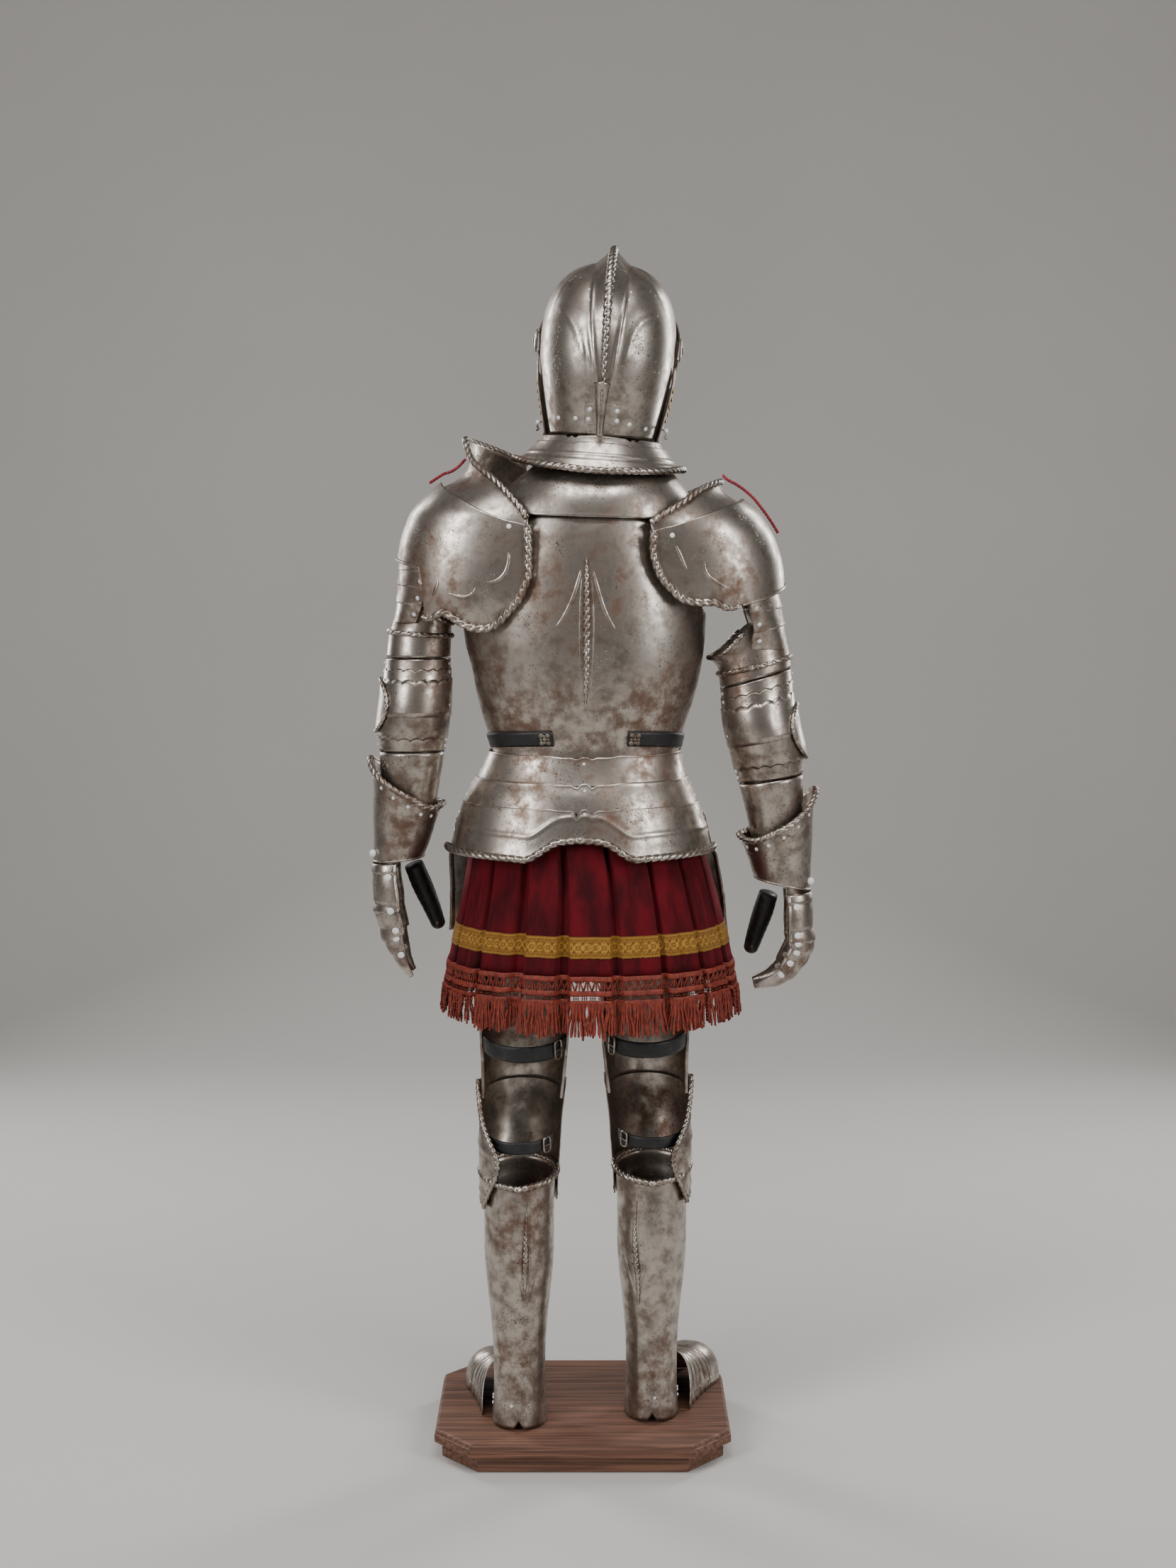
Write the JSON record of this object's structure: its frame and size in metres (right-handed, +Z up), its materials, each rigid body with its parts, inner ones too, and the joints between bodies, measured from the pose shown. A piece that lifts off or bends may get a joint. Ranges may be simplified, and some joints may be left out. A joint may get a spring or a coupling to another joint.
{
  "type": "suit of plate armour on a wooden plinth",
  "caption": "Standing suit of steel plate armour with closed helmet, gauntlets and a fringed crimson velvet skirt, shown from behind on a low wooden plinth.",
  "frame": {"origin": "centre of the plinth's underside, which rests on the floor", "axes": "+Z up, +Y the way the suit faces, +X its right side as seen from behind, so the wearer's right arm lies at +X"},
  "size_m": [0.6828, 0.3848, 1.8181],
  "materials": {
    "worn_steel": "hand-finished steel plate, worn bright with brown patina and pits",
    "black_leather": "smooth black strap and glove leather",
    "crimson_velvet": "deep crimson pile velvet in box pleats",
    "gilt_braid": "woven gilt ribbon with raised interlace",
    "rust_fringe": "rust-orange openwork lace heading and twisted fringe",
    "red_cord": "twisted crimson cord",
    "stand_wood": "dark stained boards, oiled and worn"
  },
  "bodies": {
    "suit": {"plinth": "stand_wood", "greave_back_left": "worn_steel", "greave_front_left": "worn_steel", "sabaton_instep_left": "worn_steel", "sabaton_toe_left": "worn_steel", "poleyn_left": "worn_steel", "cuisse_left": "worn_steel", "thigh_strap_left": "black_leather", "knee_strap_left": "black_leather", "greave_back_right": "worn_steel", "greave_front_right": "worn_steel", "sabaton_instep_right": "worn_steel", "sabaton_toe_right": "worn_steel", "poleyn_right": "worn_steel", "cuisse_right": "worn_steel", "thigh_strap_right": "black_leather", "knee_strap_right": "black_leather", "backplate": "worn_steel", "breastplate": "worn_steel", "culet_upper": "worn_steel", "culet_middle": "worn_steel", "culet_lower": "worn_steel", "fauld_upper": "worn_steel", "fauld_lower": "worn_steel", "skirt_velvet": "crimson_velvet", "skirt_ribbon": "gilt_braid", "skirt_fringe": "rust_fringe", "gorget": "worn_steel", "helmet_skull": "worn_steel", "helmet_bevor": "worn_steel", "plume_tube": "worn_steel", "neck_lames": "worn_steel", "neck_guard": "worn_steel", "visor_pivot_left": "worn_steel", "visor_pivot_right": "worn_steel", "pauldron_left": "worn_steel", "pauldron_collar_left": "worn_steel", "pauldron_lames_left": "worn_steel", "rerebrace_left": "worn_steel", "couter_left": "worn_steel", "vambrace_left": "worn_steel", "gauntlet_cuff_left": "worn_steel", "gauntlet_hand_left": "worn_steel", "glove_thumb_left": "black_leather", "waist_strap_left": "black_leather", "pauldron_right": "worn_steel", "pauldron_collar_right": "worn_steel", "pauldron_lames_right": "worn_steel", "rerebrace_right": "worn_steel", "couter_right": "worn_steel", "vambrace_right": "worn_steel", "gauntlet_cuff_right": "worn_steel", "gauntlet_hand_right": "worn_steel", "glove_thumb_right": "black_leather", "waist_strap_right": "black_leather", "lace_left": "red_cord", "lace_right": "red_cord"},
    "visor": {"helmet_visor": "worn_steel"},
    "tasset_left_plate": {"tasset_left": "worn_steel"},
    "tasset_right_plate": {"tasset_right": "worn_steel"}
  },
  "joints": [
    {"name": "visor_lift", "type": "hinge", "parent": "suit", "child": "visor", "pos_m": [0.03842, 0, 1.67757], "axis": [0.9968, -0.0401, -0.0697], "range_deg": [0, 60]},
    {"name": "tasset_left_swing", "type": "hinge", "parent": "suit", "child": "tasset_left_plate", "pos_m": [-0.1461, 0.1204, 0.964], "axis": [0.7682, 0.6402, 0], "range_deg": [0, 40]},
    {"name": "tasset_right_swing", "type": "hinge", "parent": "suit", "child": "tasset_right_plate", "pos_m": [0.1446, 0.1168, 0.964], "axis": [0.7483, -0.6633, 0], "range_deg": [0, 40]}
  ]
}
